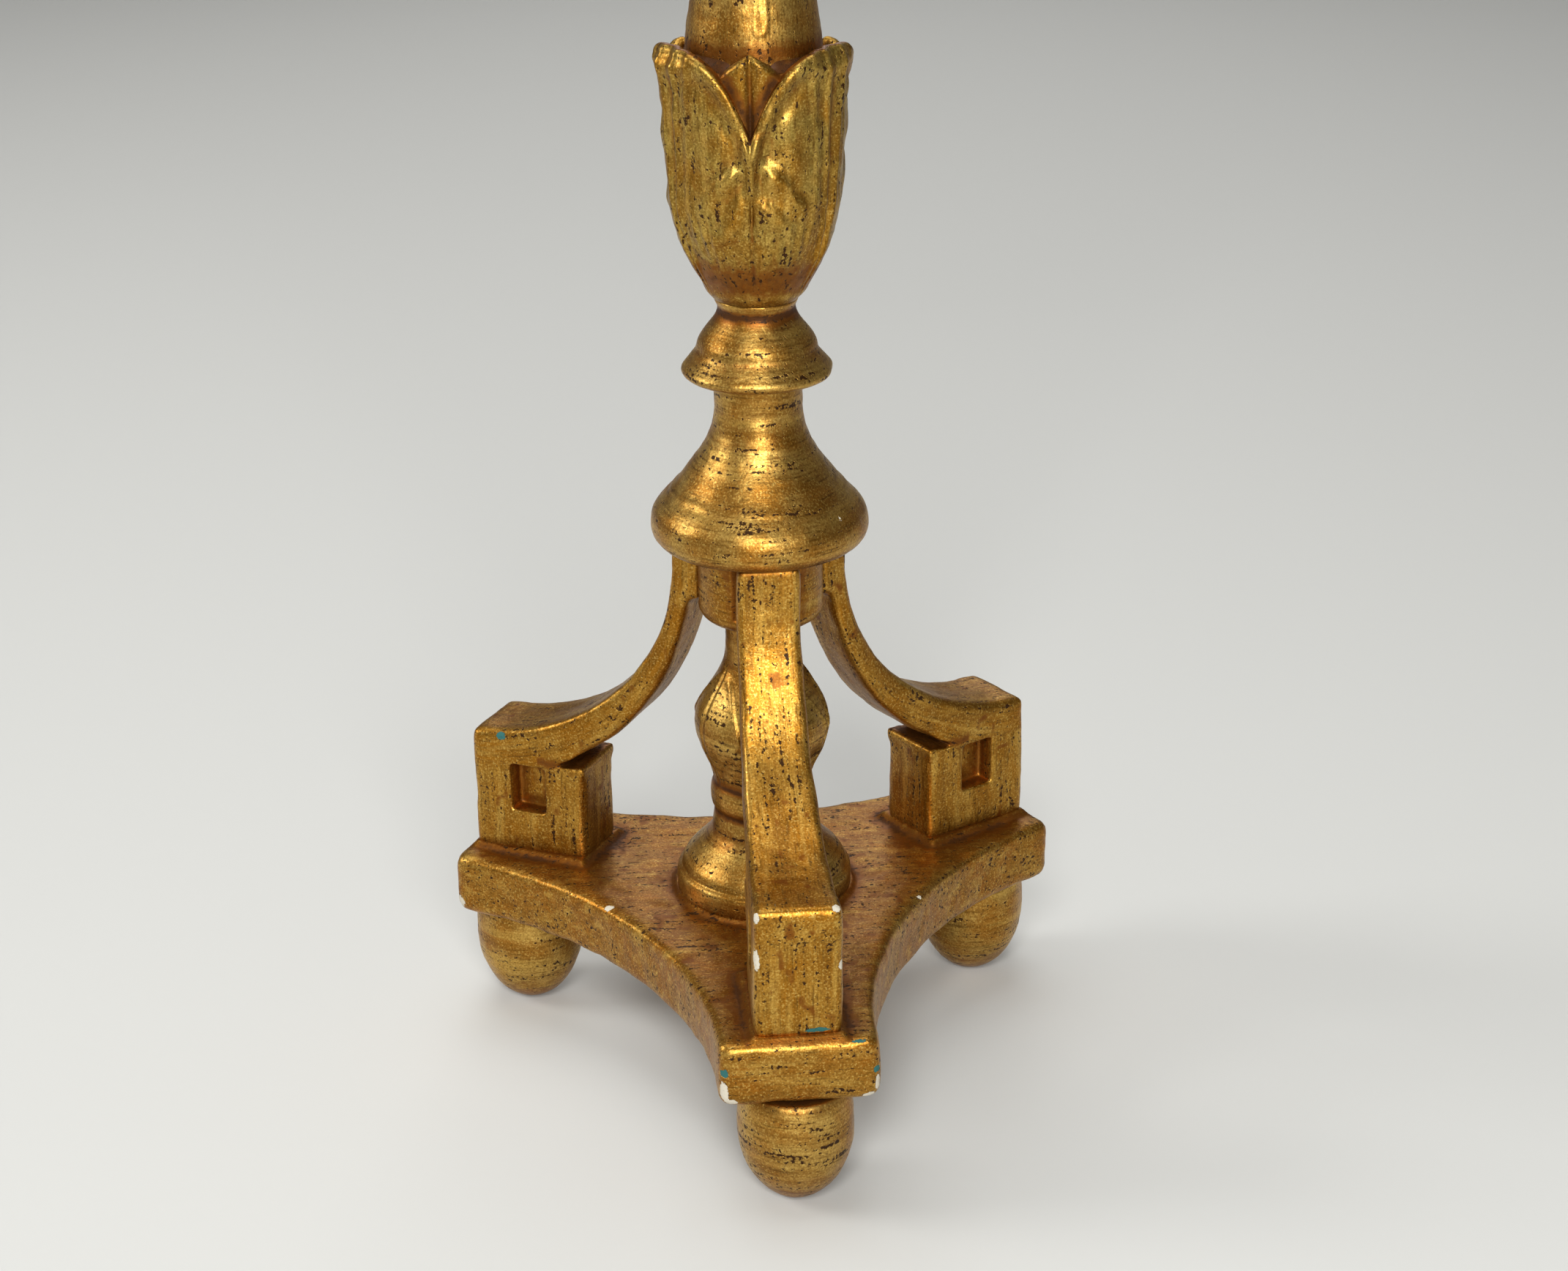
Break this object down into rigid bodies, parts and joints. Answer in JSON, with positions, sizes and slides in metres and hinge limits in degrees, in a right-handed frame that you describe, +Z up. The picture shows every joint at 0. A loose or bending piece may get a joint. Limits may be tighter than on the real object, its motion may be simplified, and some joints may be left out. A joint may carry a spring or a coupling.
{
  "type": "torchere candle stand",
  "caption": "Tall gilded wooden candle stand: hollow-sided triangular plinth on egg feet, scrolled key-pattern legs, turned column with carved leaf cups, drip pan and pricket.",
  "frame": {"origin": "on the column's axis at floor level, between the three feet", "axes": "+Z up along the column; -Y towards the front leg; +X to the right seen from the front"},
  "size_m": [0.2892, 0.2569, 1.0253],
  "materials": {
    "gilded_wood": "worn gilding over gesso",
    "bare_wood": "bare beech",
    "screw_steel": "plain steel",
    "blackened_iron": "wrought, blackened"
  },
  "bodies": {
    "root": {"plinth": "gilded_wood", "foot_front": "gilded_wood", "foot_right": "gilded_wood", "foot_left": "gilded_wood", "leg_front": "gilded_wood", "leg_right": "gilded_wood", "leg_left": "gilded_wood", "hub": "gilded_wood", "baluster": "gilded_wood", "bell": "gilded_wood", "knop": "gilded_wood", "calyx": "gilded_wood", "column": "gilded_wood", "neck_ring": "gilded_wood", "capital": "gilded_wood", "drip_pan": "gilded_wood", "leg_peg_front": "bare_wood", "leg_peg_right": "bare_wood", "leg_peg_left": "bare_wood", "leg_screw_front": "screw_steel", "leg_screw_right": "screw_steel", "leg_screw_left": "screw_steel", "pricket_plate": "blackened_iron", "pricket_spike": "blackened_iron"}
  },
  "joints": []
}
